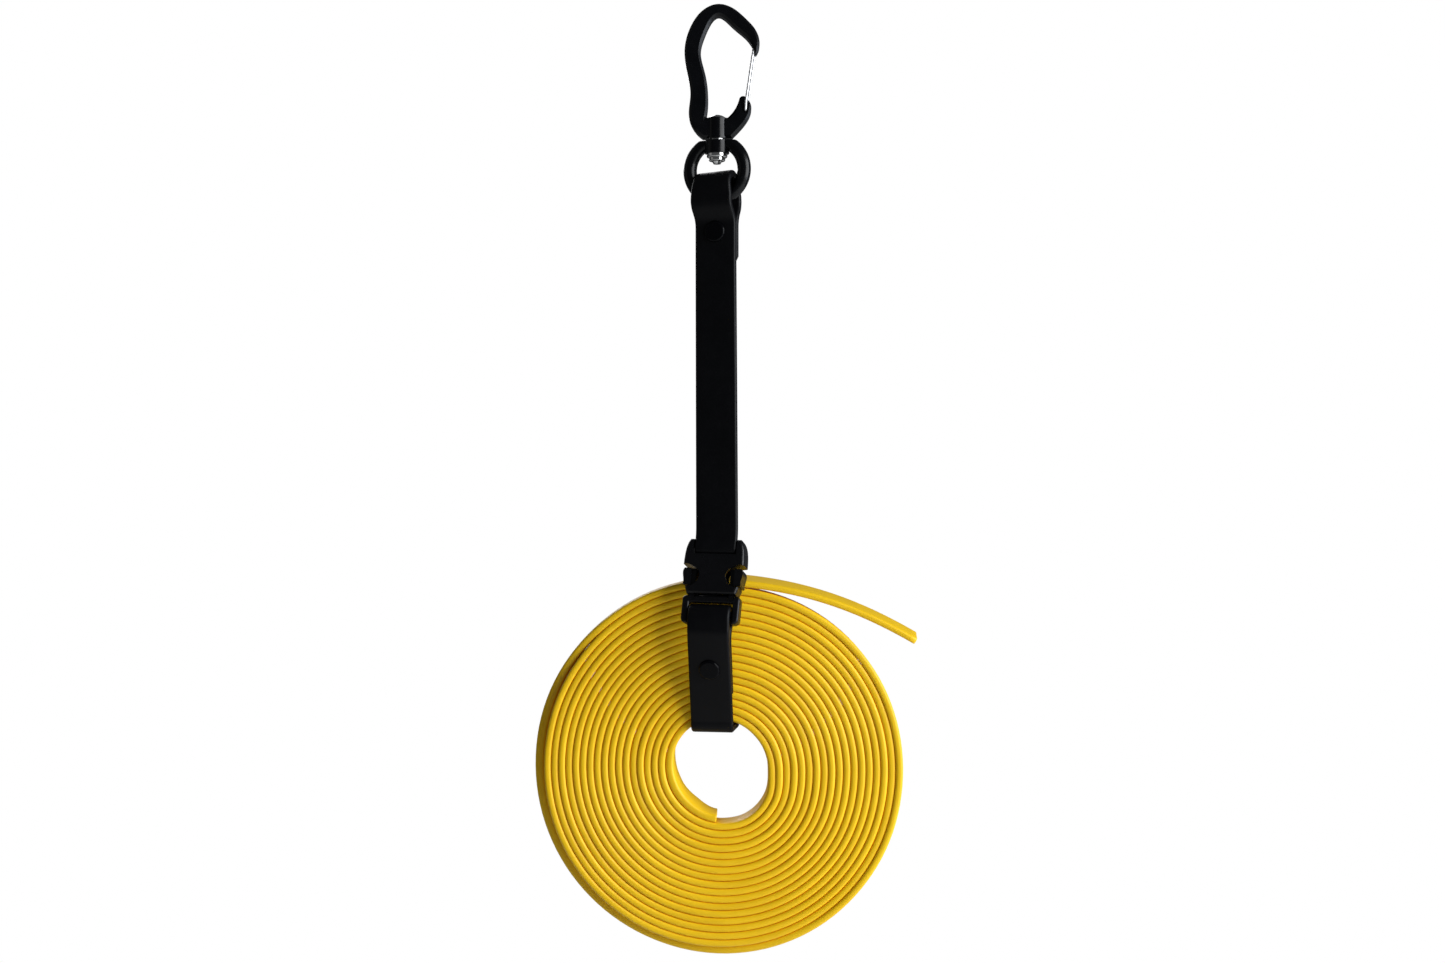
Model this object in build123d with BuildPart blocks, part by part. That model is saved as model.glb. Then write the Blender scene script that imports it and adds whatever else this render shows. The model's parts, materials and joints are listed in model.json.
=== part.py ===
from build123d import *
from math import atan2, cos, degrees, hypot, radians, sin, sqrt
import os

# A swivel carabiner carries a coated flat strap. The strap is riveted round the swivel's ring, passes
# a side-release buckle and closes into a loop that holds a roll of flat line.
# Frame: origin at the inside of the hook's crown, +Z up, +X to the right, the front faces -Y.
# Millimetres.

os.makedirs("parts", exist_ok=True)

# ---- driving dimensions -------------------------------------------------------------------------
running_clearance = 0.05  # round pins and shanks in their holes, radial
face_gap = 0.1  # between flat faces that turn on each other
soft_gap = 0.3  # between straps, roll and hard pieces of other bodies

# carabiner
hook_depth = 6.0
hook_bevel = 0.96  # on the hook's front and back edges
boss_radius = 4.0
boss_top = -38.2
boss_bottom = -45.9
wire_radius = 0.5
gate_pivot = (10.7, -35.4)
gate_top = (14.1, -12.0)
gate_foot_spread = 2.35  # legs' distance from the middle plane at the pivot
gate_top_spread = 1.2
gate_leg_offset = 0.35  # the front leg leans in and the back leg leans out by this much
gate_opening = 26  # degrees
gate_foot_reach = 0.7  # the feet's ends from the middle plane
gate_ankle = 3.2
gate_seat = 0.85  # room beyond the gate's top bar in the nose
pocket_reach = 10.0
gate_play = 0.3  # beside the gate's legs in the tongue's slots
tongue_play = 0.15  # between the tongue and each leg
nose_play = 0.35  # beside the gate's top in the nose

# swivel
shank_radius = 1.9
rivet_head_radius = 3.6
rivet_head_height = 1.4
thrust_washer_radius = 2.9
thrust_washer_thickness = 0.5
pad_radius = 4.6
pad_thickness = 4.8
ring_eye_radius = 8.2
ring_bar_radius = 2.55
ring_flat_height = 10.9  # flat top of the ring above its centre
large_washer_radius = 3.9
large_washer_thickness = 1.5
small_washer_radius = 3.1
small_washer_thickness = 1.3
rivet_tail_height = 1.0
rivet_tail_radius = 1.33
washer_rounding = 0.4  # of a washer's thickness

# strap
strap_width = 16.0
strap_thickness = 2.5
eye_clearance = 0.25  # between the strap's edges and the ring's eye
fold_radius = 3.7  # inside of the strap's fold round the ring
fold_drop = 3.2  # inside of the fold's crown below the ring's centre
fold_length = 12.2  # from the swing axis to where the two layers meet
ring_turn = -19  # degrees about the swivel
buckle_turn = -15
upper_rivet_drop = 16.5  # below the strap's swing axis
fold_tail = 11.6  # strap's free end below the upper rivet
cap_radius = 4.0
cap_height = 1.0
cap_rounding = 0.9  # of the caps' height
post_radius = 1.5

# buckle, in its own plane: across, up, and towards the front
buckle_origin = (0.5, -6.6, -197.1)
buckle_pitch = 18
buckle_tilt = 1.0
socket_half_width = 11.5
socket_top_half_width = 9.7
socket_mouth_half_width = 9.4
socket_length = 21.0
socket_half_thickness = 3.8
socket_wall = 1.4
socket_edge = 1.3
bar_height = 2.7
bar_thickness = 2.2
strap_slot_clearance = 0.5
entry_height = 1.5  # the hanging run ends this far above the bar
slot_front_height = 3.1  # the strap's slot below the bar, at the socket's front face
slot_back_height = 8.0  # and at its back face
window_top = -10.8
window_bottom = -18.2
window_inner = 5.0
cavity_top = -10.9
plug_gap = 0.3  # socket's mouth to the plug's cross-piece
plug_half_width = 11.0
plug_length = 10.5
plug_half_thickness = 2.3
plug_cross_height = 2.8
plug_slot_play = 0.15  # over the strap's fold, under the cross-piece
plug_bar_height = 2.8
fold_clearance = 0.2  # between the bar and the strap folded round it
plug_bar_rounding = 0.45  # of the bar's height
plug_edge = 0.9  # rounding of the plug's front and back edges
plug_foot_rounding = 1.9
plug_top_rounding = 1.5
guide_half_width = 1.6
guide_top = -12.0
arm_inner_face = 6.6
arm_outer_face = 8.5
arm_half_thickness = 2.1
arm_knuckle = 1.1
barb_half_width = 11.1
arm_top_gap = 0.4  # from the strip to the upper end of the window
barb_root = 8.3  # the barb's inner side, from the middle
barb_shoulder = 10.8
barb_shoulder_height = 0.8
barb_swell = 0.15
barb_gap = 0.45  # above and below it in the window
barb_half_thickness = 3.3
lower_rivet_fraction = 0.38  # along the front run
lower_tail_fraction = 0.7

# roll of line
line_width = 13.0
line_thickness = 2.5
roll_radius = 69.4
hole_radius = 19.6
roll_top = -213.0
roll_centre = (1.0, 4.1, roll_top - roll_radius)
tail_start_angle = 5.3  # past the top of the roll, degrees
tail_lift = 0.1  # between the free end's start and the roll
tail_middle = (41.0, -4.3)  # from the top of the roll
tail_end = (73.4, -18.6)
loop_centre_x = -1.6
inner_bend = 0.8  # inside of the strap's bend round the roll's edges


def axes(turn):
    """Directions across and to the back, for a piece turned about the vertical by so many degrees."""
    a = radians(turn)
    return Vector(cos(a), sin(a), 0), Vector(-sin(a), cos(a), 0)


def side_plane(origin, turn):
    """Plane seen from the side: its first axis points to the back and its second axis up."""
    across, back = axes(turn)
    return Plane(origin=origin, x_dir=back, z_dir=across)


def finish(piece, name):
    piece.part.label = name
    export_step(piece.part, f"parts/{name}.step")


# ---- carabiner ----------------------------------------------------------------------------------
# The outline runs from the nose over the crown, down the spine, round the boss and up the gate arm.
nose_tip = (14.5, -14.7)
outer_outline = [
    nose_tip,
    (16.0, -10.8),
    (14.6, -5.4),
    (10.7, -0.9),
    (6.4, 2.7),
    (0.2, 4.5),
    (-5.4, 2.1),
    (-9.6, -3.4),
    (-12.2, -13.4),
    (-10.9, -22.5),
    (-10.0, -30.0),
    (-10.5, -38.0),
    (-8.4, -42.9),
    (-5.3, boss_bottom),
]
inner_outline = [
    (-boss_radius, boss_top),
    (-3.3, -30.9),
    (-4.4, -21.9),
    (-6.1, -13.7),
    (-4.4, -6.9),
    (0.7, 0.0),
    (6.0, -3.9),
    (11.2, -8.4),
    nose_tip,
]
arm_outer = [(5.5, boss_bottom), (10.9, -39.9), (12.9, -34.7), (11.3, -30.9)]
arm_inner = [(8.4, -30.9), (7.0, -34.6), (boss_radius, boss_top)]
leg_angle = degrees(atan2(gate_top[1] - gate_pivot[1], gate_top[0] - gate_pivot[0]))
leg_length = hypot(gate_top[1] - gate_pivot[1], gate_top[0] - gate_pivot[0])
gate_clear = wire_radius + gate_leg_offset + gate_play
tongue_half = gate_foot_spread - wire_radius - tongue_play
nose_pocket_half = gate_top_spread + wire_radius + nose_play

with BuildPart() as carabiner_body:
    with BuildSketch(Plane.XZ):
        with BuildLine():
            Spline(*outer_outline)
            Line(outer_outline[-1], arm_outer[0])
            Spline(*arm_outer)
            ThreePointArc(arm_outer[-1], (9.8, -30.0), arm_inner[0])
            Spline(*arm_inner)
            Line(arm_inner[-1], inner_outline[0])
            Spline(*inner_outline)
        make_face()
    extrude(amount=hook_depth / 2, both=True)
    flat_edges = carabiner_body.edges().filter_by(
        lambda e: abs(abs(e.center().Y) - hook_depth / 2) < 1e-3 and e.length > 1
    )
    chamfer(flat_edges, hook_bevel)
    with BuildSketch(Plane.XY.offset(boss_top)):
        Circle(boss_radius)
    extrude(amount=boss_bottom - boss_top)
    with BuildSketch(Plane.XY.offset(boss_top)):
        Circle(shank_radius + running_clearance)
    extrude(amount=boss_bottom - boss_top, mode=Mode.SUBTRACT)
    # room for the gate's legs beside the tongue, over the gate's swing
    for side in (1, -1):
        with BuildSketch(Plane.XZ.offset(side * tongue_half)):
            with Locations(gate_pivot):
                Circle(gate_clear)
                for angle in (leg_angle, leg_angle + gate_opening / 2, leg_angle + gate_opening):
                    with Locations(Rotation(0, 0, angle)):
                        Rectangle(leg_length / 2, 2 * gate_clear, align=(Align.MIN, Align.CENTER))
        extrude(amount=side * hook_depth, mode=Mode.SUBTRACT)
    with BuildSketch(Plane.XZ):
        with Locations(gate_pivot):
            Circle(wire_radius + running_clearance)
    extrude(amount=hook_depth, both=True, mode=Mode.SUBTRACT)
    # pocket in the nose that takes the top of the gate, open to the inside and downwards
    with BuildSketch(Plane.XZ):
        with Locations(Location((gate_top[0], gate_top[1], 0), (0, 0, leg_angle))):
            with Locations((-pocket_reach, -gate_seat)):
                Rectangle(
                    pocket_reach + gate_seat,
                    pocket_reach + gate_seat,
                    align=(Align.MIN, Align.MIN),
                )
    extrude(amount=nose_pocket_half, both=True, mode=Mode.SUBTRACT)
finish(carabiner_body, "carabiner_body")

# ---- wire gate: one bent wire, closed at the nose, its feet turned into the tongue -----------------
lean = Vector(-sin(radians(leg_angle)), 0, cos(radians(leg_angle)))  # across the legs, to the inside
along = Vector(cos(radians(leg_angle)), 0, sin(radians(leg_angle)))
pivot_point = Vector(gate_pivot[0], 0, gate_pivot[1])
top_point = Vector(gate_top[0], 0, gate_top[1])


def leg(side):
    """Foot, ankle, knee and top of the gate's leg on one side, side -1 being the front."""
    out = Vector(0, side, 0)
    offset = lean * (-side * gate_leg_offset)
    return [
        pivot_point + out * gate_foot_reach,
        pivot_point + out * gate_foot_spread,
        pivot_point + along * gate_ankle + out * gate_foot_spread + offset,
        top_point + out * gate_top_spread + offset,
    ]


gate_points = leg(-1) + leg(1)[::-1]
foot_bend = 1.2 * wire_radius
top_bend = 1.6 * wire_radius
gate_bends = [foot_bend, gate_ankle, top_bend, top_bend, gate_ankle, foot_bend]
with BuildPart() as wire_gate:
    with BuildLine():
        gate_path = FilletPolyline(*gate_points, radius=gate_bends)
    with BuildSketch(Plane(origin=gate_points[0], z_dir=(0, -1, 0))):
        Circle(wire_radius)
    sweep(path=gate_path)
finish(wire_gate, "wire_gate")

# ---- swivel: rivet, washers and ring ----------------------------------------------------------------
pad_top = boss_bottom - thrust_washer_thickness - 2 * face_gap
pad_bottom = pad_top - pad_thickness
large_top = pad_bottom - face_gap
small_top = large_top - large_washer_thickness
tail_top = small_top - small_washer_thickness
ring_centre_z = pad_top - ring_flat_height
ring_mid_radius = ring_eye_radius + ring_bar_radius
head_sphere = (rivet_head_radius**2 + rivet_head_height**2) / (2 * rivet_head_height)

with BuildPart() as swivel_rivet:
    with BuildSketch(Plane.XZ):
        with BuildLine():
            head_edge = (rivet_head_radius, boss_top)
            Line((0, boss_top + rivet_head_height), (0, tail_top - rivet_tail_height))
            Line((0, tail_top - rivet_tail_height), (rivet_tail_radius, tail_top - rivet_tail_height))
            Line((rivet_tail_radius, tail_top - rivet_tail_height), (shank_radius, tail_top))
            Line((shank_radius, tail_top), (shank_radius, boss_top))
            Line((shank_radius, boss_top), head_edge)
            RadiusArc(head_edge, (0, boss_top + rivet_head_height), -head_sphere)
        make_face()
    revolve(axis=Axis.Z)
finish(swivel_rivet, "swivel_rivet")


def washer(radius, top, thickness):
    """Flat washer on the swivel's shank, its edge rounded at the bottom."""
    with BuildPart() as piece:
        with BuildSketch(Plane.XY.offset(top)):
            Circle(radius)
            Circle(shank_radius + running_clearance, mode=Mode.SUBTRACT)
        extrude(amount=-thickness)
        rim = piece.edges().filter_by(GeomType.CIRCLE).filter_by(lambda e: abs(e.radius - radius) < 0.01)
        fillet(rim.sort_by(Axis.Z)[0], thickness * washer_rounding)
    return piece


finish(washer(thrust_washer_radius, boss_bottom - face_gap, thrust_washer_thickness), "thrust_washer")
finish(washer(large_washer_radius, large_top, large_washer_thickness), "large_washer")
finish(washer(small_washer_radius, small_top, small_washer_thickness), "small_washer")

ring_across, ring_back = axes(ring_turn)
ring_plane = Plane(origin=(0, 0, ring_centre_z), x_dir=ring_across, z_dir=-ring_back)
with BuildPart() as swivel_ring:
    with Locations(ring_plane):
        Torus(ring_mid_radius, ring_bar_radius)
    with BuildSketch(Plane.XY.offset(pad_top)):
        Circle(pad_radius)
    extrude(amount=-pad_thickness)
    split(bisect_by=Plane.XY.offset(pad_top), keep=Keep.BOTTOM)
    with BuildSketch(Plane.XY.offset(pad_top)):
        Circle(shank_radius + running_clearance)
    extrude(amount=-pad_thickness, mode=Mode.SUBTRACT)
finish(swivel_ring, "swivel_ring")

# ---- hanger strap: fold round the ring, then a single run down to the socket's bar ------------------
fold_outer = fold_radius + strap_thickness
eye_reach = ring_eye_radius - eye_clearance
crown_inner = ring_centre_z - fold_drop
fold_half_width = sqrt(eye_reach**2 - fold_drop**2)
swing_z = crown_inner - fold_radius
ring_foot = ring_centre_z - ring_mid_radius - ring_bar_radius
fold_join = swing_z - fold_length
rivet_z = swing_z - upper_rivet_drop
fold_end = rivet_z - fold_tail
fold_side = side_plane((0, 0, 0), ring_turn)


def buckle_frame():
    """Plane of the buckle: turned about the vertical, pitched forwards at its foot and tilted."""
    across, back = axes(buckle_turn)
    pitch = radians(buckle_pitch)
    tilt = radians(buckle_tilt)
    front = -back * cos(pitch) + Vector(0, 0, sin(pitch))
    up = front.cross(across)
    return Plane(origin=buckle_origin, x_dir=across * cos(tilt) - up * sin(tilt), z_dir=front)


buckle = buckle_frame()
buckle_side = Plane(origin=buckle.origin, x_dir=-buckle.z_dir, z_dir=buckle.x_dir)  # (back, up)
over_bar = (bar_thickness + strap_slot_clearance + strap_thickness) / 2  # strap's middle before the bar
strap_entry = buckle.origin + buckle.z_dir * over_bar + buckle.y_dir * entry_height

upper_rivet_plane = Plane(origin=(0, 0, rivet_z), x_dir=ring_across, z_dir=-ring_back)

with BuildPart() as hanger_strap:
    with BuildSketch(fold_side):
        with BuildLine():
            Polyline(
                (fold_outer, swing_z),
                (fold_outer, ring_foot),
                (strap_thickness, fold_join),
                (strap_thickness, fold_end),
                (-strap_thickness, fold_end),
                (-strap_thickness, fold_join),
                (-fold_outer, ring_foot),
                (-fold_outer, swing_z),
            )
            RadiusArc((-fold_outer, swing_z), (fold_outer, swing_z), fold_outer)
        make_face()
        with BuildLine():
            Polyline(
                (fold_radius, swing_z),
                (fold_radius, ring_foot),
                (0, fold_join + strap_thickness),
                (-fold_radius, ring_foot),
                (-fold_radius, swing_z),
            )
            RadiusArc((-fold_radius, swing_z), (fold_radius, swing_z), fold_radius)
        make_face(mode=Mode.SUBTRACT)
    extrude(amount=strap_width / 2, both=True)
    # the fold is squeezed to the width of the ring's eye
    for side in (1, -1):
        with BuildSketch(Plane(origin=(0, 0, swing_z), x_dir=ring_across, z_dir=(0, 0, 1))):
            with Locations((side * (fold_half_width + strap_width / 2), 0)):
                Rectangle(strap_width, 4 * fold_outer)
        extrude(amount=2 * fold_outer, mode=Mode.SUBTRACT)
    with BuildSketch(
        Plane(origin=(0, 0, fold_end), x_dir=ring_across, z_dir=(0, 0, 1))
        .shift_origin(ring_back * (-strap_thickness / 2) + Vector(0, 0, fold_end))
    ):
        Rectangle(strap_width, strap_thickness)
    with BuildSketch(Plane(origin=strap_entry, x_dir=buckle.x_dir, z_dir=buckle.y_dir)):
        Rectangle(strap_width, strap_thickness)
    loft(ruled=True)
    with BuildSketch(upper_rivet_plane):
        Circle(post_radius + running_clearance)
    extrude(amount=2 * fold_outer, both=True, mode=Mode.SUBTRACT)
finish(hanger_strap, "hanger_strap")


# ---- rivets: a post with a domed front cap, and a back cap ------------------------------------------
def rivet(plane, gap, name):
    """Rivet through two layers of strap. The plane lies between the layers and faces the front."""
    reach = strap_thickness + gap
    with BuildPart() as post:
        with BuildSketch(plane.offset(-reach)):
            Circle(post_radius)
        extrude(amount=2 * reach)
        with BuildSketch(plane.offset(reach)):
            Circle(cap_radius)
        extrude(amount=cap_height)
        rim = post.edges().filter_by(GeomType.CIRCLE).filter_by(lambda e: abs(e.radius - cap_radius) < 0.01)
        fillet(rim.sort_by(Axis(plane.origin, plane.z_dir))[-1], cap_height * cap_rounding)
    finish(post, name)
    with BuildPart() as cap:
        with BuildSketch(plane.offset(-reach)):
            Circle(cap_radius)
        extrude(amount=-cap_height)
        rim = cap.edges().filter_by(GeomType.CIRCLE).filter_by(lambda e: abs(e.radius - cap_radius) < 0.01)
        fillet(rim.sort_by(Axis(plane.origin, plane.z_dir))[0], cap_height * cap_rounding)
    finish(cap, f"{name}_cap")


rivet(upper_rivet_plane, 0.02, "upper_rivet")

# ---- buckle socket ----------------------------------------------------------------------------------
slot_half_width = (strap_width + strap_slot_clearance) / 2
slot_top = -bar_height
cavity_half_thickness = socket_half_thickness - socket_wall
cavity_half_width = socket_mouth_half_width - 0.4
with BuildPart() as socket_body:
    with BuildSketch():
        with BuildLine():
            Line((0, 0), (socket_top_half_width, 0))
            Spline(
                (socket_top_half_width, 0),
                (socket_half_width, -6.4),
                (socket_half_width - 0.2, -14.0),
                (socket_mouth_half_width, -socket_length),
                tangents=[(0.6, -0.8), (-0.35, -1)],
            )
            Line((socket_mouth_half_width, -socket_length), (0, -socket_length))
            mirror(about=Plane.YZ)
        make_face()
    extrude(amount=socket_half_thickness, both=True)
    face_edges = socket_body.edges().filter_by(
        lambda e: abs(abs(e.center().Z) - socket_half_thickness) < 1e-3
    )
    fillet(face_edges, socket_edge)
with BuildPart() as buckle_socket:
    add(buckle.location * socket_body.part)
    # slot for the strap: open before and behind the bar, and slanting back below it
    with BuildSketch(buckle_side):
        with BuildLine():
            Polyline(
                (bar_thickness / 2, 1),
                (bar_thickness / 2, slot_top),
                (-bar_thickness / 2, slot_top),
                (-bar_thickness / 2, 1),
                (-socket_half_thickness - 1, 1),
                (-socket_half_thickness - 1, slot_top - slot_front_height),
                (-over_bar, slot_top - slot_front_height),
                (socket_half_thickness + 1, slot_top - slot_back_height),
                (socket_half_thickness + 1, 1),
                (bar_thickness / 2, 1),
            )
        make_face()
    extrude(amount=slot_half_width, both=True, mode=Mode.SUBTRACT)
    with BuildSketch(buckle):
        with Locations((0, -socket_length)):
            Rectangle(
                2 * cavity_half_width,
                socket_length + cavity_top,
                align=(Align.CENTER, Align.MIN),
            )
    extrude(amount=cavity_half_thickness, both=True, mode=Mode.SUBTRACT)
    for side in (1, -1):
        with BuildSketch(buckle):
            with BuildLine():
                Spline(
                    (side * socket_half_width * 1.2, window_top),
                    (side * (window_inner + 2.2), window_top),
                    (side * window_inner, window_top - 2.4),
                    (side * (window_inner + 2.4), window_bottom + 0.4),
                    (side * (cavity_half_width + 0.2), window_bottom),
                )
                Line(
                    (side * (cavity_half_width + 0.2), window_bottom),
                    (side * socket_half_width * 1.2, window_bottom),
                )
                Line(
                    (side * socket_half_width * 1.2, window_bottom),
                    (side * socket_half_width * 1.2, window_top),
                )
            make_face()
        extrude(amount=2 * socket_half_thickness, both=True, mode=Mode.SUBTRACT)
finish(buckle_socket, "buckle_socket")

# ---- buckle plug: frame with a strap bar, centre guide, and notches for the arms' knuckles ------------
plug_top = -socket_length - plug_gap
plug_foot = plug_top - plug_length
slot_roof = plug_top - plug_cross_height
plug_bar_top = slot_roof - strap_thickness - fold_clearance - plug_slot_play
plug_bar_middle = plug_bar_top - plug_bar_height / 2
knuckle_centre = ((arm_inner_face + arm_outer_face) / 2, plug_top - arm_knuckle)
with BuildPart() as buckle_plug:
    with BuildSketch(buckle):
        with Locations((0, plug_top)):
            Rectangle(2 * plug_half_width, plug_length, align=(Align.CENTER, Align.MAX))
        fillet(vertices().group_by(Axis.Y)[0], plug_foot_rounding)
        fillet(vertices().group_by(Axis.Y)[-1], plug_top_rounding)
        with Locations((0, slot_roof)):
            Rectangle(2 * slot_half_width, plug_length, align=(Align.CENTER, Align.MAX), mode=Mode.SUBTRACT)
    extrude(amount=plug_half_thickness, both=True)
    outer_edges = buckle_plug.edges().filter_by(
        lambda e: abs(abs(buckle.to_local_coords(e.center()).Z) - plug_half_thickness) < 1e-3
    )
    fillet(outer_edges, plug_edge)
    with BuildSketch(buckle_side):
        with Locations((0, plug_bar_middle)):
            RectangleRounded(plug_bar_height, plug_bar_height, plug_bar_height * plug_bar_rounding)
    extrude(amount=slot_half_width + 0.5, both=True)
    with BuildSketch(buckle):
        with Locations((0, plug_top - 0.5)):
            Rectangle(2 * guide_half_width, guide_top - plug_top + 0.5, align=(Align.CENTER, Align.MIN))
    extrude(amount=guide_half_width, both=True)
    with BuildSketch(buckle):
        for side in (1, -1):
            with Locations((side * knuckle_centre[0], knuckle_centre[1])):
                Circle(arm_knuckle + running_clearance)
                Rectangle(
                    2 * arm_knuckle + 0.6, arm_knuckle + 1, align=(Align.CENTER, Align.MIN)
                )
    extrude(amount=plug_half_thickness * 2, both=True, mode=Mode.SUBTRACT)
finish(buckle_plug, "buckle_plug")

# ---- release arms: a springing strip with a barb that fills the socket's window ------------------------
for side, name in ((-1, "left_release_arm"), (1, "right_release_arm")):
    with BuildPart() as release_arm:
        with BuildSketch(buckle):
            with Locations((side * knuckle_centre[0], knuckle_centre[1])):
                Circle(arm_knuckle)
            with BuildLine():
                Polyline(
                    (side * arm_inner_face, knuckle_centre[1]),
                    (side * arm_inner_face, window_top - arm_top_gap),
                    (side * arm_outer_face, window_top - arm_top_gap),
                    (side * arm_outer_face, knuckle_centre[1]),
                    close=True,
                )
            make_face()
        extrude(amount=arm_half_thickness, both=True)
        with BuildSketch(buckle):
            with BuildLine():
                Polyline(
                    (side * barb_root, window_bottom + barb_gap),
                    (side * barb_shoulder, window_bottom + barb_gap),
                    (side * barb_half_width, window_bottom + barb_shoulder_height),
                )
                Spline(
                    (side * barb_half_width, window_bottom + barb_shoulder_height),
                    (side * (barb_half_width + barb_swell), (window_bottom + window_top) / 2),
                    (side * barb_half_width, window_top - barb_shoulder_height),
                    (side * barb_shoulder, window_top - barb_gap),
                )
                Line(
                    (side * barb_shoulder, window_top - barb_gap),
                    (side * barb_root, window_top - barb_gap),
                )
                Line(
                    (side * barb_root, window_top - barb_gap),
                    (side * barb_root, window_bottom + barb_gap),
                )
            make_face()
        extrude(amount=barb_half_thickness, both=True)
    finish(release_arm, name)

# ---- roll and its free end ------------------------------------------------------------------------------
roll_front = roll_centre[1] - line_width / 2
roll_back = roll_centre[1] + line_width / 2
roll_plane = Plane(origin=(roll_centre[0], roll_front, roll_centre[2]), x_dir=(1, 0, 0), z_dir=(0, -1, 0))
with BuildPart() as line_roll:
    with BuildSketch(roll_plane):
        Circle(roll_radius)
        Circle(hole_radius, mode=Mode.SUBTRACT)
    extrude(amount=-line_width)
finish(line_roll, "line_roll")

tail_radius = roll_radius + line_thickness / 2 + tail_lift
tail_points = [
    (
        roll_centre[0] + tail_radius * sin(radians(tail_start_angle)),
        roll_centre[2] + tail_radius * cos(radians(tail_start_angle)),
    ),
    (roll_centre[0] + tail_middle[0], roll_top + tail_middle[1]),
    (roll_centre[0] + tail_end[0], roll_top + tail_end[1]),
]
with BuildPart() as line_tail:
    with BuildSketch(Plane.XZ.offset(-roll_front)):
        with BuildLine():
            ThreePointArc(*tail_points)
        trace(line_width=line_thickness)
    extrude(amount=-line_width)
finish(line_tail, "line_tail")

# ---- loop of the strap: back run, and front run with its fold round the plug's bar ------------------------
loop_reach = strap_width / 2 + abs(roll_centre[0] - loop_centre_x)
seat_z = roll_centre[2] + sqrt(hole_radius**2 - loop_reach**2) - soft_gap - strap_thickness / 2
back_y = roll_back + soft_gap + strap_thickness / 2
front_y = roll_front - soft_gap - strap_thickness / 2
over_roll_z = roll_centre[2] + roll_radius + 1.0 + strap_thickness / 2
loop_side = side_plane((loop_centre_x, 0, 0), 0)
meeting_y = roll_back - 2.0
bend_radius = inner_bend + strap_thickness / 2
exit_corner = (-over_bar, slot_top - slot_front_height + strap_thickness / 2 + 0.35)
exit_point = (socket_half_thickness + 1.3, slot_top - slot_back_height + 1.7)
exit_direction = buckle_side.x_dir * (exit_point[0] - exit_corner[0]) + buckle_side.y_dir * (
    exit_point[1] - exit_corner[1]
)
exit_place = buckle_side.from_local_coords(Vector(exit_point[0], exit_point[1], 0))
over_roll = (roll_centre[1] + 1.5, over_roll_z + 0.4)
with BuildPart() as loop_back_run:
    with BuildSketch(buckle_side):
        with BuildLine():
            FilletPolyline((-over_bar, entry_height), exit_corner, exit_point, radius=1.6)
        trace(line_width=strap_thickness)
    extrude(amount=strap_width / 2, both=True)
    with BuildSketch(Plane(origin=exit_place, x_dir=buckle.x_dir, z_dir=exit_direction)):
        Rectangle(strap_width, strap_thickness)
    with BuildSketch(Plane(origin=(loop_centre_x, *over_roll), x_dir=(1, 0, 0), z_dir=(0, 1, 0))):
        Rectangle(strap_width, strap_thickness)
    loft(ruled=True)
    with BuildSketch(loop_side):
        with BuildLine():
            FilletPolyline(
                over_roll,
                (back_y, over_roll[1]),
                (back_y, seat_z),
                (meeting_y, seat_z),
                radius=bend_radius,
            )
        trace(line_width=strap_thickness)
    extrude(amount=strap_width / 2, both=True)
finish(loop_back_run, "loop_back_run")

plug_fold_radius = plug_bar_height / 2 + fold_clearance
plug_fold_outer = plug_fold_radius + strap_thickness
plug_fold_join = plug_bar_middle - 6.5
run_start = buckle.origin + buckle.y_dir * plug_fold_join
run_end = Vector(loop_centre_x, front_y + strap_thickness / 2, seat_z + bend_radius + 1.0)
run_down = (run_end - run_start).normalized()


def run_plane(fraction):
    """Plane between the two layers of the front run, part of the way from the plug to the roll's hole."""
    across, _ = axes(buckle_turn * (1 - fraction))
    tilt = radians(buckle_tilt * (1 - fraction))
    across = across * cos(tilt) + Vector(0, 0, -sin(tilt))
    front = run_down.cross(across)
    return Plane(origin=run_start + (run_end - run_start) * fraction, x_dir=across, z_dir=front)


def run_section(plane, layers):
    """Plane across the front run, centred on its two layers or on its front layer."""
    centre = plane.origin + plane.z_dir * (strap_thickness / 2 * (2 - layers))
    return Plane(origin=centre, x_dir=plane.x_dir, z_dir=-plane.y_dir)


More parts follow.
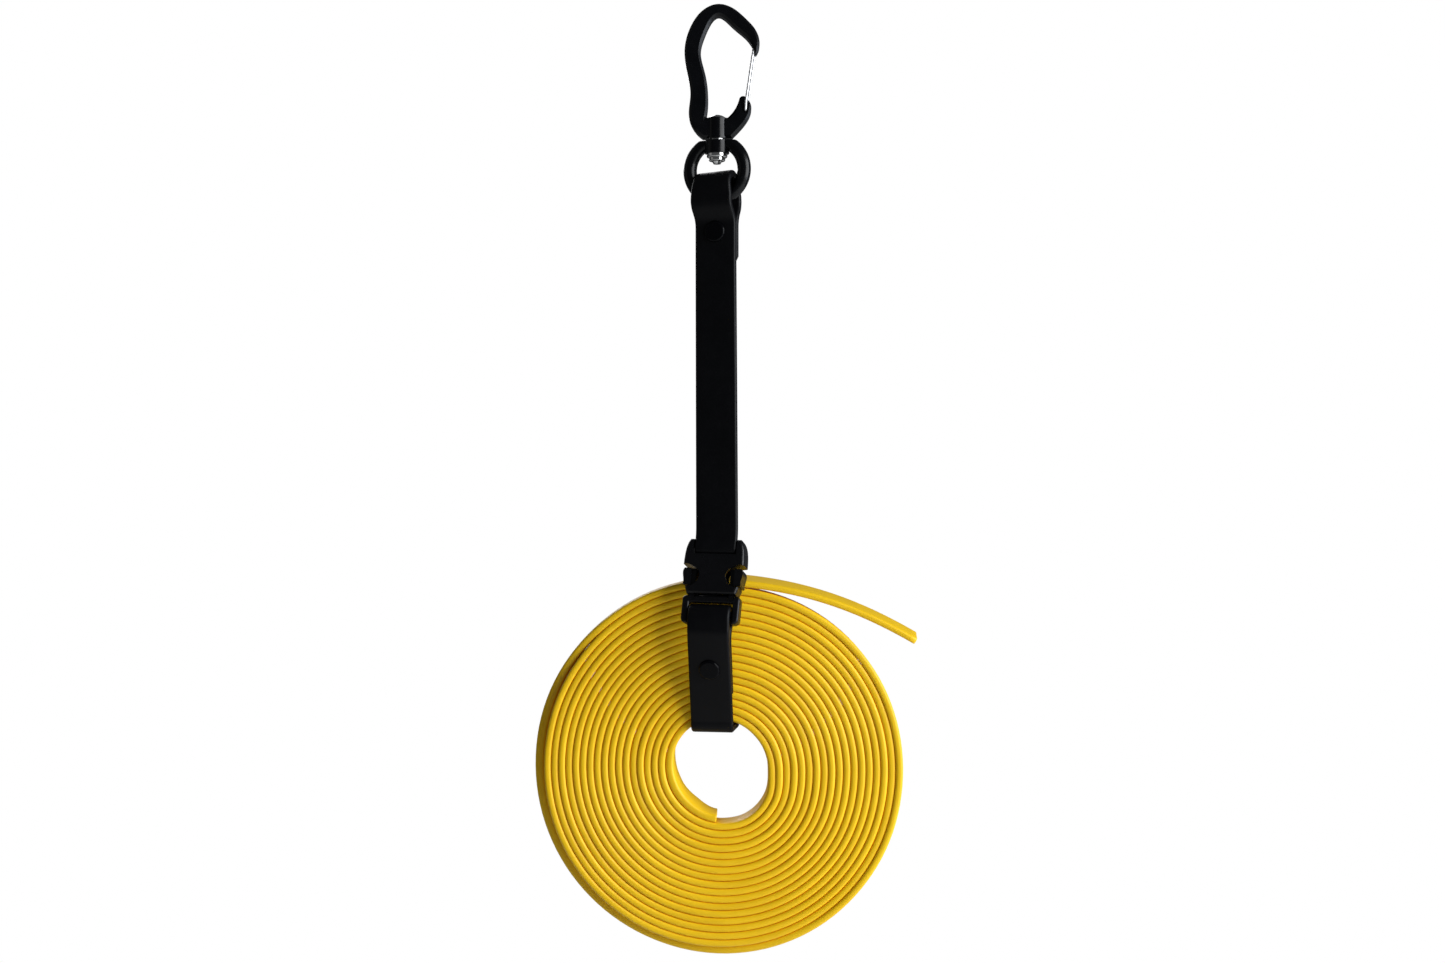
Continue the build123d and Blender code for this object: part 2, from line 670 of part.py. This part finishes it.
lower_rivet_plane = run_plane(lower_rivet_fraction)
with BuildPart() as loop_front_run:
    with BuildSketch(buckle_side):
        with BuildLine():
            Polyline(
                (plug_fold_outer, plug_bar_middle),
                (plug_fold_outer, plug_bar_middle - plug_bar_height / 2 - fold_clearance),
                (strap_thickness, plug_fold_join),
                (-strap_thickness, plug_fold_join),
                (-plug_fold_outer, plug_bar_middle - plug_bar_height / 2 - fold_clearance),
                (-plug_fold_outer, plug_bar_middle),
            )
            RadiusArc((-plug_fold_outer, plug_bar_middle), (plug_fold_outer, plug_bar_middle), plug_fold_outer)
        make_face()
        with BuildLine():
            Polyline(
                (plug_fold_radius, plug_bar_middle),
                (plug_fold_radius, plug_bar_middle - plug_bar_height / 2 - fold_clearance),
                (0, plug_fold_join + 2),
                (-plug_fold_radius, plug_bar_middle - plug_bar_height / 2 - fold_clearance),
                (-plug_fold_radius, plug_bar_middle),
            )
            RadiusArc((-plug_fold_radius, plug_bar_middle), (plug_fold_radius, plug_bar_middle), plug_fold_radius)
        make_face(mode=Mode.SUBTRACT)
    extrude(amount=strap_width / 2, both=True)
    with BuildSketch(Plane(origin=run_start, x_dir=buckle.x_dir, z_dir=-buckle.y_dir)):
        Rectangle(strap_width, 2 * strap_thickness)
    with BuildSketch(run_section(run_plane(lower_tail_fraction), 2)):
        Rectangle(strap_width, 2 * strap_thickness)
    loft(ruled=True)
    with BuildSketch(run_section(run_plane(lower_tail_fraction), 1)):
        Rectangle(strap_width, strap_thickness)
    with BuildSketch(Plane(origin=(loop_centre_x, front_y, run_end.Z), x_dir=(1, 0, 0), z_dir=(0, 0, -1))):
        Rectangle(strap_width, strap_thickness)
    loft(ruled=True)
    with BuildSketch(loop_side):
        with BuildLine():
            FilletPolyline(
                (front_y, run_end.Z),
                (front_y, seat_z),
                (meeting_y - face_gap, seat_z),
                radius=bend_radius,
            )
        trace(line_width=strap_thickness)
    extrude(amount=strap_width / 2, both=True)
    with BuildSketch(lower_rivet_plane):
        Circle(post_radius + running_clearance)
    extrude(amount=3 * strap_thickness, both=True, mode=Mode.SUBTRACT)
finish(loop_front_run, "loop_front_run")
rivet(lower_rivet_plane, 0.15, "lower_rivet")
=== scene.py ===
import json
from math import cos, pi, radians, sin, sqrt, tan

import bpy
from mathutils import Matrix, Vector


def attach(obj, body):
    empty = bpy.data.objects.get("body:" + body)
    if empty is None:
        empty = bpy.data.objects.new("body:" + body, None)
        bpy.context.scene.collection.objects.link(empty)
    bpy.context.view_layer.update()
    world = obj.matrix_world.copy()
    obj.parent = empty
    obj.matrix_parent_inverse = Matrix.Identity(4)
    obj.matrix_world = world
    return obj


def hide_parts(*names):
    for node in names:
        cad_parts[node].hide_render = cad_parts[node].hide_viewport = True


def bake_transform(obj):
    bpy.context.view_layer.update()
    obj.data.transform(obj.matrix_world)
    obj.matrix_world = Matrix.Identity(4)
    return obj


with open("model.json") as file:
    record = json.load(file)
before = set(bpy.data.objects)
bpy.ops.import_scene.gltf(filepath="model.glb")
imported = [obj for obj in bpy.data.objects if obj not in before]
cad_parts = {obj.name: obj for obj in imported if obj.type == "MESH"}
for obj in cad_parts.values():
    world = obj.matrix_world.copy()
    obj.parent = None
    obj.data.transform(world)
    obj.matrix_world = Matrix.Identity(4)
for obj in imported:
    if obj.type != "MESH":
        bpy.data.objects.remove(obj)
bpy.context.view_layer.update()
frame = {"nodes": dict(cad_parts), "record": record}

# Looks of the hanger strap with its roll of line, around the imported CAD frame.
# Lengths are written in millimetres, in the CAD frame, and MM turns them into metres.
MM = 0.001


# ---- sizes that repeat the CAD model's -------------------------------------------------------------
strap_width = 16.0
strap_thickness = 2.5
half_strap = strap_thickness / 2
ring_turn = -19
swing_z = -64.4
fold_radius = 3.7
fold_middle = fold_radius + half_strap
ring_foot = -70.8
fold_join = -76.6
strap_end = -92.5
eye_half_width = 7.35
buckle_turn = -15
buckle_pitch = 18
buckle_tilt = 1.0
buckle_origin = Vector((0.5, -6.6, -197.1))
over_bar = 2.6
plug_bar_middle = -28.35
plug_fold_radius = 1.6
plug_fold_middle = plug_fold_radius + half_strap
plug_fold_join = -34.85
loop_x = -1.8
loop_back_x = 0.7
loop_turn = -9
loop_back_y = 13.2
loop_front_y = -5.0
seat_z = -267.46
line_width = 13.0
line_thickness = 2.5
roll_front = -2.4


# ---- vectors and paths -----------------------------------------------------------------------------
def axes(turn):
    """Directions across and to the back, turned about the vertical by so many degrees."""
    a = radians(turn)
    return Vector((cos(a), sin(a), 0)), Vector((-sin(a), cos(a), 0))


ring_across, ring_back = axes(ring_turn)
buckle_across, buckle_back = axes(buckle_turn)
buckle_front = -buckle_back * cos(radians(buckle_pitch)) + Vector((0, 0, sin(radians(buckle_pitch))))
upright = buckle_front.cross(buckle_across)
buckle_x = buckle_across * cos(radians(buckle_tilt)) - upright * sin(radians(buckle_tilt))
buckle_up = buckle_front.cross(buckle_x)


def in_buckle(back, up):
    """Point in the buckle's middle plane, seen from the side."""
    return buckle_origin - buckle_front * back + buckle_up * up


def rounded(corners, step=1.2):
    """Stations along a line with rounded corners. Each corner is (point, across, radius)."""
    stations = []
    last = len(corners) - 1
    joins = []
    for k in range(last + 1):
        point, across, radius = corners[k]
        if k in (0, last) or radius == 0:
            joins.append((point, point, None))
            continue
        before = (point - corners[k - 1][0]).normalized()
        after = (corners[k + 1][0] - point).normalized()
        turn = before.angle(after)
        if turn < 1e-3:
            joins.append((point, point, None))
            continue
        reach = radius * tan(turn / 2)
        start = point - before * reach
        end = point + after * reach
        centre = start + (after - before * before.dot(after)).normalized() * radius
        joins.append((start, end, (centre, before.cross(after).normalized(), turn)))
    for k in range(last + 1):
        start, end, arc = joins[k]
        if arc:
            centre, axis, turn = arc
            count = max(3, int(turn * (start - centre).length / 0.45))
            for i in range(count + 1):
                spin = Matrix.Rotation(turn * i / count, 3, axis)
                stations.append((centre + spin @ (start - centre), float(k)))
        else:
            stations.append((start, float(k)))
        if k < last:
            goal = joins[k + 1][0]
            length = (goal - end).length
            count = int(length / step)
            for i in range(1, count):
                stations.append((end.lerp(goal, i / count), k + i / count))
    found = []
    for place, along in stations:
        k = min(int(along), last - 1)
        across = corners[k][1].lerp(corners[k + 1][1], along - k)
        found.append((place, across.normalized()))
    return found


def framed(stations):
    """Adds to each (point, across) its direction through the strap, and the distance run so far."""
    made = []
    run = 0.0
    for k, (point, across) in enumerate(stations):
        before = stations[max(k - 1, 0)][0]
        after = stations[min(k + 1, len(stations) - 1)][0]
        ahead = (after - before).normalized()
        across = (across - ahead * across.dot(ahead)).normalized()
        if k:
            run += (point - stations[k - 1][0]).length
        made.append((point, across, ahead.cross(across), ahead, run))
    return made


# ---- strap and line sections --------------------------------------------------------------------------
def outline(width, thickness, corner, steps=5, flats=4):
    """Closed section of coated webbing, as (across, through), with rounded edges."""
    points = []
    for side, face, start in ((1, 1, 0), (-1, 1, 90), (-1, -1, 180), (1, -1, 270)):
        for k in range(steps + 1):
            a = radians(start + 90 * k / steps)
            across = side * (width / 2 - corner) + corner * cos(a)
            through = face * (thickness / 2 - corner) + corner * sin(a)
            points.append((across, through))
        if face == side:
            run = width - 2 * corner
            for k in range(1, flats):
                points.append((side * (width / 2 - corner - run * k / flats), face * thickness / 2))
    return points


def sweep(name, stations, section, width_at=None, thick_at=None, cut=0.25):
    """Strap along framed stations, with a closed section and slightly rounded cut ends."""
    rings = []
    ends = (0, len(stations) - 1)
    for k, (point, across, through, ahead, run) in enumerate(stations):
        scale = width_at(run) if width_at else 1.0
        through = through * (thick_at[k] if thick_at else 1.0)
        if k in ends:
            inward = ahead * (cut if k == 0 else -cut)
            small = [
                (u * (1 - cut / max(abs(u), 1)), v * (1 - cut / strap_thickness * 1.6)) for u, v in section
            ]
            full = (point + inward, section)
            rim = (point, small)
            for place, shape in (rim, full) if k == 0 else (full, rim):
                rings.append([place + across * u * scale + through * v for u, v in shape])
        else:
            rings.append([point + across * u * scale + through * v for u, v in section])
    size = len(section)
    girth = [0.0]
    for k in range(size):
        a, b = section[k], section[(k + 1) % size]
        girth.append(girth[-1] + sqrt((b[0] - a[0]) ** 2 + (b[1] - a[1]) ** 2))
    runs = [0.0]
    for k in range(1, len(rings)):
        runs.append(runs[-1] + (rings[k][0] - rings[k - 1][0]).length)
    vertices = [tuple(p * MM) for ring in rings for p in ring]
    faces = []
    places = []
    for k in range(len(rings) - 1):
        for i in range(size):
            j = (i + 1) % size
            faces.append((k * size + i, (k + 1) * size + i, (k + 1) * size + j, k * size + j))
            places.append(((k, i), (k + 1, i), (k + 1, i + 1), (k, i + 1)))
    first = tuple(range(size))
    final = tuple((len(rings) - 1) * size + i for i in reversed(range(size)))
    mesh = bpy.data.meshes.new(name)
    mesh.from_pydata(vertices, [], faces + [first, final])
    layer = mesh.uv_layers.new(name="run")
    loops = layer.data
    index = 0
    for corner in places:
        for k, i in corner:
            loops[index].uv = (runs[k] * MM, girth[i] * MM)
            index += 1
    for ends in (first, final):
        for vertex in ends:
            u, v = section[vertex % size]
            loops[index].uv = (u * MM, v * MM)
            index += 1
    mesh.validate()
    for polygon in mesh.polygons:
        polygon.use_smooth = len(polygon.vertices) == 4
    piece = bpy.data.objects.new(name, mesh)
    bpy.context.scene.collection.objects.link(piece)
    return piece


# ---- materials ----------------------------------------------------------------------------------------
class Surface:
    """Node material with its own small helpers."""

    def __init__(self, name, roughness, metallic=0.0, specular=0.5):
        self.material = bpy.data.materials.new(name)
        self.material.use_nodes = True
        self.nodes = self.material.node_tree.nodes
        self.links = self.material.node_tree.links
        self.shader = self.nodes["Principled BSDF"] if "Principled BSDF" in self.nodes else None
        if self.shader is None:
            self.nodes.clear()
            self.shader = self.nodes.new("ShaderNodeBsdfPrincipled")
            output = self.nodes.new("ShaderNodeOutputMaterial")
            self.links.new(self.shader.outputs["BSDF"], output.inputs["Surface"])
        self.shader.inputs["Roughness"].default_value = roughness
        self.shader.inputs["Metallic"].default_value = metallic
        self.shader.inputs["Specular IOR Level"].default_value = specular

    def add(self, kind, **values):
        node = self.nodes.new(kind)
        for key, value in values.items():
            if key in node.inputs:
                node.inputs[key].default_value = value
            else:
                setattr(node, key, value)
        return node

    def place(self, run=False):
        """Where the pattern lies: on the piece itself, or along the strap's own length."""
        if run:
            return self.add("ShaderNodeUVMap", uv_map="run").outputs["UV"]
        return self.add("ShaderNodeTexCoord").outputs["Object"]

    def noise(self, place, scale, detail=2.0, roughness=0.5):
        node = self.add("ShaderNodeTexNoise", Scale=scale, Detail=detail, Roughness=roughness)
        self.links.new(place, node.inputs["Vector"])
        return node.outputs["Fac"]

    def spread(self, value, low, high, at_low, at_high):
        """Maps value from (low, high) to (at_low, at_high)."""
        node = self.add("ShaderNodeMapRange")
        for key, number in (("From Min", low), ("From Max", high), ("To Min", at_low), ("To Max", at_high)):
            node.inputs[key].default_value = number
        self.links.new(value, node.inputs["Value"])
        return node.outputs["Result"]

    def maths(self, operation, a, b):
        node = self.add("ShaderNodeMath", operation=operation)
        for k, value in enumerate((a, b)):
            if isinstance(value, (int, float)):
                node.inputs[k].default_value = value
            else:
                self.links.new(value, node.inputs[k])
        return node.outputs[0]

    def colour(self, factor, dark, light):
        node = self.add("ShaderNodeMix", data_type="RGBA")
        node.inputs[6].default_value = (*dark, 1)
        node.inputs[7].default_value = (*light, 1)
        self.links.new(factor, node.inputs[0])
        self.links.new(node.outputs[2], self.shader.inputs["Base Color"])

    def painted_groove_shade(self, painted_shade_colour, reach):
        """Painted shade: mixes the colour towards a darker one where the surface closes on its neighbour,
        within reach in millimetres, from an ambient occlusion node.
        """
        open_to = self.add("ShaderNodeAmbientOcclusion", samples=8, Distance=reach * MM)
        mix = self.add("ShaderNodeMix", data_type="RGBA")
        mix.inputs[6].default_value = (*painted_shade_colour, 1)
        self.links.new(self.spread(open_to.outputs["AO"], 0.15, 0.62, 0, 1), mix.inputs[0])
        self.links.new(self.shader.inputs["Base Color"].links[0].from_socket, mix.inputs[7])
        self.links.new(mix.outputs[2], self.shader.inputs["Base Color"])

    def rough(self, factor):
        self.links.new(factor, self.shader.inputs["Roughness"])

    def bump(self, height, depth, below=None):
        node = self.add("ShaderNodeBump", Strength=1.0, Distance=depth * MM)
        self.links.new(height, node.inputs["Height"])
        if below is not None:
            self.links.new(below, node.inputs["Normal"])
        self.links.new(node.outputs["Normal"], self.shader.inputs["Normal"])
        return node.outputs["Normal"]

    def ribs(self, place, along, across):
        """Fine woven relief: crossed waves along and across the webbing, pitches in millimetres."""
        split = self.add("ShaderNodeSeparateXYZ")
        self.links.new(place, split.inputs[0])
        waves = []
        for axis, pitch in ((0, along), (1, across)):
            angle = self.maths("MULTIPLY", split.outputs[axis], 2 * pi / (pitch * MM))
            waves.append(self.maths("SINE", angle, 0.0))
        return self.maths("MULTIPLY", waves[0], waves[1])


def coated_webbing(name, dark, light, roughness, rib, depth, specular, painted_shade_colour=None):
    surface = Surface(name, roughness, specular=specular)
    place = surface.place(run=True)
    broad = surface.noise(place, 45, 3)
    surface.colour(surface.spread(broad, 0.35, 0.65, 0, 1), dark, light)
    patches = surface.noise(place, 260, 3)
    surface.rough(surface.spread(patches, 0.3, 0.7, roughness - 0.06, roughness + 0.06))
    # painted shade: where a colour is given, the coating turns to it in the grooves between close turns
    if painted_shade_colour is not None:
        surface.painted_groove_shade(painted_shade_colour, 3)
    woven = surface.bump(surface.ribs(place, rib, rib * 0.8), depth)
    surface.bump(surface.noise(place, 3200, 2), depth * 0.8, woven)
    return surface.material


def satin(name, dark, light, roughness, grain, depth, metallic=0.0, specular=0.5, blotch=70):
    surface = Surface(name, roughness, metallic, specular)
    place = surface.place()
    surface.colour(surface.spread(surface.noise(place, blotch, 3), 0.35, 0.65, 0, 1), dark, light)
    patches = surface.noise(place, blotch * 6, 3)
    surface.rough(surface.spread(patches, 0.3, 0.7, roughness - 0.05, roughness + 0.05))
    surface.bump(surface.noise(place, grain, 3), depth)
    return surface.material


# the yellow line's own colour, with painted shade of deeper orange in the grooves between its turns
yellow = coated_webbing(
    "coated_yellow", (0.84, 0.51, 0.005), (0.90, 0.56, 0.007), 0.42, 0.7, 0.008, 0.3, painted_shade_colour=(0.80, 0.25, 0.002)
)
black = coated_webbing(
    "coated_black", (0.0022, 0.0023, 0.0029), (0.0030, 0.0031, 0.0039), 0.40, 0.8, 0.004, 0.12
)
anodised = satin(
    "black_anodised", (0.0012, 0.0013, 0.0019), (0.0018, 0.0020, 0.0028), 0.24, 2600, 0.002, specular=0.2
)
plastic = satin(
    "moulded_black", (0.0026, 0.0027, 0.0034), (0.0034, 0.0035, 0.0044), 0.30, 1500, 0.003, specular=0.22
)
lacquer = satin(
    "black_lacquer", (0.0012, 0.0013, 0.0018), (0.0018, 0.0019, 0.0026), 0.22, 900, 0.001, specular=0.08
)
steel = satin("bright_steel", (0.56, 0.56, 0.55), (0.70, 0.70, 0.69), 0.17, 1800, 0.004, metallic=1.0)
wire = satin("drawn_wire", (0.72, 0.72, 0.73), (0.82, 0.82, 0.83), 0.50, 1800, 0.001, metallic=1.0)
finishes = {
    "anodised": anodised,
    "steel": steel,
    "strap": black,
    "rivet_black": lacquer,
    "buckle_plastic": plastic,
    "line": yellow,
}
for part in frame["record"]["subparts"]:
    node = frame["nodes"][part["node"]]
    node.data.materials.clear()
    node.data.materials.append(finishes[part["material_slot"]])
frame["nodes"]["wire_gate"].data.materials[0] = wire


def dress(piece, material, slot, body, *nodes):
    """Gives a piece its material and its body, and hides the nodes it stands for; the slot argument is not
    used.
    """
    piece.data.materials.append(material)
    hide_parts(*nodes)
    if body:
        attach(piece, body)


# ---- hanging strap: from its end behind the rivet, round the ring, through the buckle, behind the roll -----
upwards = Vector((0, 0, 1))
loop_across = axes(loop_turn)[0]
over_roll_z = -209.4


def at_ring(offset, z, shift=0.0):
    return ring_back * offset + upwards * z + ring_across * shift


crown_across = (ring_across + upwards * 0.055).normalized()  # the fold lies a little askew
hanging = [
    (at_ring(half_strap, strap_end), ring_across, 0),
    (at_ring(half_strap, fold_join), ring_across, 9),
    (at_ring(fold_middle, ring_foot), ring_across, 7),
    (at_ring(fold_middle, swing_z + fold_middle, -0.3), crown_across, fold_middle - 0.01),
    (at_ring(-fold_middle, swing_z + fold_middle, -0.3), crown_across, fold_middle - 0.01),
    (at_ring(-fold_middle, ring_foot, -0.7), ring_across, 7),
    (at_ring(-half_strap, fold_join), ring_across, 9),
    (at_ring(-half_strap, strap_end), ring_across, 30),
    (in_buckle(-over_bar, 2.0), buckle_x, 25),
    (in_buckle(-over_bar, -4.2), buckle_x, 1.7),
    (in_buckle(5.1, -9.0), buckle_x, 3),
    (Vector((loop_back_x, 6.0, over_roll_z)), loop_across, 3),
    (Vector((loop_back_x, loop_back_y, over_roll_z)), loop_across, 3.2),
    (Vector((loop_back_x, loop_back_y, seat_z)), loop_across, 2.2),
    (Vector(((loop_x + loop_back_x) / 2, 4.0, seat_z)), loop_across, 0),
]
strap_section = outline(strap_width, strap_thickness, 1.0)
strap_stations = framed(rounded(hanging))
eye_run = [s[4] for s in strap_stations if s[0].z > swing_z + 1.0]
eye_middle = (min(eye_run) + max(eye_run)) / 2


def squeezed(run):
    """Strap's width over the ring's eye, and its clipped corners at the cut end."""
    near = max(0.0, 1 - abs(run - eye_middle) / 11)
    narrow = 1 - (1 - 2 * eye_half_width / strap_width) * min(1, 2 * near)
    clip = max(0.0, 1 - run / 2.4)
    return narrow - 0.14 * clip


hanging_strap = sweep("strap_hanging", strap_stations, strap_section, squeezed)
dress(hanging_strap, black, "strap", "hanger", "hanger_strap", "loop_back_run")

# ---- front of the loop: out of the roll's hole, up to the plug, round its bar and back down ----------------
tail_fraction = 0.69  # the strap's cut end, along the front run
run_start = in_buckle(0, plug_fold_join)
bend_height = 3.05  # the front run starts this far above the seat
run_end = Vector((loop_x, loop_front_y + half_strap, seat_z + bend_height))
run_front = (run_end - run_start).normalized().cross(buckle_x).normalized()
if run_front.y > 0:
    run_front = -run_front
cut_end = run_start.lerp(run_end, tail_fraction)
front_loop = [
    (Vector(((loop_x + loop_back_x) / 2, 4.4, seat_z)), loop_across, 0),
    (Vector((loop_x, loop_front_y, seat_z)), loop_across, 2.2),
    (Vector((loop_x, loop_front_y, seat_z + bend_height)), loop_across, 5),
    (in_buckle(-half_strap, plug_fold_join), buckle_x, 6),
    (in_buckle(-plug_fold_middle, plug_bar_middle - plug_fold_radius), buckle_x, 3),
    (in_buckle(-plug_fold_middle, plug_bar_middle + plug_fold_middle), buckle_x, plug_fold_middle - 0.01),
    (in_buckle(plug_fold_middle, plug_bar_middle + plug_fold_middle), buckle_x, plug_fold_middle - 0.01),
    (in_buckle(plug_fold_middle, plug_bar_middle - plug_fold_radius), buckle_x, 3),
    (in_buckle(half_strap, plug_fold_join), buckle_x, 6),
    (cut_end - run_front * half_strap, buckle_x.lerp(loop_across, tail_fraction), 0),
]
front_strap = sweep("strap_front_loop", framed(rounded(front_loop)), strap_section)
dress(front_strap, black, "strap", None, "loop_front_run")
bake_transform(front_strap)

# ---- roll of line: one flat line wound from its inner end, on edge, and its free end -----------------------
hole_centre = Vector((2.6, 0, -284.06))
line_turns = 18
line_gap = 0.03  # between neighbouring turns
# How far the first turn's middle lies from the hole's centre, and the turns' pitch, by degrees clockwise
# from the bottom: the turns ride over the strap and bulge at the upper left
winding = [
    (0, 17.64, 2.737),
    (45, 18.1, 2.722),
    (90, 19.85, 2.69),
    (120, 21.0, 2.70),
    (145, 21.3, 2.73),
    (165, 20.5, 2.77),
    (192, 19.2, 2.79),
    (225, 17.35, 2.84),
    (270, 15.95, 2.815),
    (300, 17.1, 2.75),
    (335, 17.8, 2.72),
]
first_angle = 9.0  # the inner end, clockwise from the bottom
leave_angle = 184.0  # where the free end leaves the last turn
lean = 8.5  # the free end's, in degrees
last_turn = 360 * line_turns


def smooth(rows, angle, column):
    """Value at an angle from rows that go once round, on a periodic cubic through them."""
    angle = angle % 360
    count = len(rows)
    k = max(i for i in range(count) if rows[i][0] <= angle)
    keys = [rows[(k + i) % count][0] + 360 * ((k + i) // count) for i in (-1, 0, 1, 2)]
    values = [rows[(k + i) % count][column] for i in (-1, 0, 1, 2)]
    t = (angle - keys[1]) / (keys[2] - keys[1])
    slope_a = (values[2] - values[0]) / (keys[2] - keys[0]) * (keys[2] - keys[1])
    slope_b = (values[3] - values[1]) / (keys[3] - keys[1]) * (keys[2] - keys[1])
    return (
        values[1] * (2 * t**3 - 3 * t**2 + 1)
        + values[2] * (3 * t**2 - 2 * t**3)
        + slope_a * (t**3 - 2 * t**2 + t)
        + slope_b * (t**3 - t**2)
    )


def ramp(value, *keys):
    """Value on a smooth-stepped line through (where, value) keys."""
    if value <= keys[0][0]:
        return keys[0][1]
    for (a, low), (b, high) in zip(keys, keys[1:]):
        if value <= b:
            t = (value - a) / (b - a)
            return low + (high - low) * t * t * (3 - 2 * t)
    return keys[-1][1]


def stray(total):
    """How far a turn's free side lies off the even winding, while its other side stays on its neighbour."""
    inner = ramp(total, (first_angle, -0.3), (45, -0.4), (75, -0.55), (95, -0.45), (125, 0))
    outer = ramp(total - last_turn, (-50, 0), (20, 0.8), (100, 1.1), (150, 0))
    return inner + outer


def turn_place(total):
    """Front edge's middle, direction across and outward direction of the line, so many degrees round."""
    turns = total / 360
    angle = radians(total)
    outward = Vector((-sin(angle), 0, -cos(angle)))
    radius = smooth(winding, total, 1) + smooth(winding, total, 2) * turns
    radius += stray(total) / 2
    radius += 0.03 * sin(3.1 * angle / 2 + 1.3 * turns) * sin(turns * 2.1)
    back = 0.12 * sin(turns * 2.7) + 0.10 * sin(angle * 0.37 + 1.0)
    back += ramp(total - last_turn, (-40, 0), (25, 5.5), (105, 6.5), (146, 0))
    tilt = ramp(total, (first_angle, -2), (45, -7.5), (75, -6), (120, 0))
    tilt += ramp(total - last_turn, (165, 0), (leave_angle, lean))
    return hole_centre + outward * radius + Vector((0, roll_front + back, 0)), tilt, outward


def line_station(front, tilt, outward):
    """Middle of the line and its direction across, from its front edge's middle."""
    across = Vector((0, cos(radians(tilt)), 0)) + outward * sin(radians(tilt))
    return front + across * (line_width / 2), across


line_stations = []
line_thick = []
total = first_angle
while total < last_turn + leave_angle:
    line_stations.append(line_station(*turn_place(total)))
    line_thick.append((smooth(winding, total, 2) - line_gap + abs(stray(total))) / line_thickness)
    total += 3.0 if total > 720 else 2.5
# free end: a smooth cubic from the last turn to the cut end
leave, tilt, outward = turn_place(last_turn + leave_angle)
before = turn_place(last_turn + leave_angle - 1)[0]
heading = (leave - before).normalized()
tail_end = Vector((74.6, -2.1, -234.9))
tail_heading = Vector((0.865, 0.0, -0.502)).normalized()
reach = (tail_end - leave).length * 1.08
for k in range(33):
    t = k / 32
    place = (
        leave * (2 * t**3 - 3 * t**2 + 1)
        + tail_end * (3 * t**2 - 2 * t**3)
        + heading * reach * (t**3 - 2 * t**2 + t)
        + tail_heading * reach * (t**3 - t**2)
    )
    slope = (
        leave * (6 * t**2 - 6 * t)
        + tail_end * (6 * t - 6 * t**2)
        + heading * reach * (3 * t**2 - 4 * t + 1)
        + tail_heading * reach * (3 * t**2 - 2 * t)
    ).normalized()
    line_stations.append(line_station(place, lean, Vector((-slope.z, 0, slope.x))))
    line_thick.append(1.0 + (line_thick[-1] - 1.0) * 0.9)
line_framed = framed(line_stations)
line_section = outline(line_width, line_thickness, 1.0, flats=2)
roll_line = sweep("line_wound", line_framed, line_section, thick_at=line_thick)
dress(roll_line, yellow, "line", "roll", "line_roll", "line_tail")

# ---- floor, light and camera ---------------------------------------------------------------------------
pale_floor = satin("pale_floor", (0.80, 0.80, 0.79), (0.83, 0.83, 0.82), 0.7, 60, 0.1, blotch=3)
floor_mesh = bpy.data.meshes.new("floor")
floor_z = -0.75
floor_half = 1.35
floor_mesh.from_pydata(
    [(x * floor_half, y * floor_half, floor_z) for x, y in ((-1, -1), (1, -1), (1, 1), (-1, 1))],
    [],
    [(0, 1, 2, 3)],
)
floor = bpy.data.objects.new("floor", floor_mesh)
bpy.context.scene.collection.objects.link(floor)
floor_mesh.materials.append(pale_floor)

world = bpy.data.worlds.new("studio")
bpy.context.scene.world = world
world.use_nodes = True
nodes = world.node_tree.nodes
links = world.node_tree.links
nodes.clear()
ambient = nodes.new("ShaderNodeBackground")
ambient.inputs["Color"].default_value = (0.93, 0.96, 1.0, 1)
ambient.inputs["Strength"].default_value = 0.085
seen = nodes.new("ShaderNodeBackground")
seen.inputs["Color"].default_value = (1, 1, 1, 1)
seen.inputs["Strength"].default_value = 1.0
ray = nodes.new("ShaderNodeLightPath")
mix = nodes.new("ShaderNodeMixShader")
output = nodes.new("ShaderNodeOutputWorld")
links.new(ray.outputs["Is Camera Ray"], mix.inputs[0])
links.new(ambient.outputs[0], mix.inputs[1])
links.new(seen.outputs[0], mix.inputs[2])
links.new(mix.outputs[0], output.inputs[0])


def area_light(name, place, aim, size, power, tint):
    lamp = bpy.data.lights.new(name, "AREA")
    lamp.shape = "RECTANGLE"
    lamp.size, lamp.size_y = size
    lamp.energy = power
    lamp.color = tint
    shown = bpy.data.objects.new(name, lamp)
    shown.location = place
    shown.rotation_mode = "QUATERNION"
    shown.rotation_quaternion = (Vector(aim) - Vector(place)).to_track_quat("-Z", "Y")
    bpy.context.scene.collection.objects.link(shown)


area_light("key", (1.30, -0.80, 0.15), (0, 0, -0.2), (1.3, 1.2), 34, (0.96, 0.98, 1.0))
area_light("strip", (1.55, -0.22, 0.0), (0, 0, -0.2), (0.25, 1.5), 7, (0.80, 0.88, 1.0))
area_light("fill", (-1.5, -0.35, 0.3), (0, 0, -0.2), (0.8, 1.2), 0.6, (1.0, 0.98, 0.95))
area_light("back", (-0.7, 1.4, 0.7), (0, 0, -0.2), (1.2, 1.0), 15, (0.97, 0.98, 1.0))

camera_data = bpy.data.cameras.new("camera")
camera_data.sensor_width = 36
camera_data.lens = 45.8
camera = bpy.data.objects.new("camera", camera_data)
camera.location = (0.00206, -0.692, -0.17475)
camera.rotation_euler = (pi / 2, 0, 0)
camera_data.clip_start = 0.01
bpy.context.scene.collection.objects.link(camera)
bpy.context.scene.camera = camera
bpy.context.scene.view_settings.view_transform = "Standard"
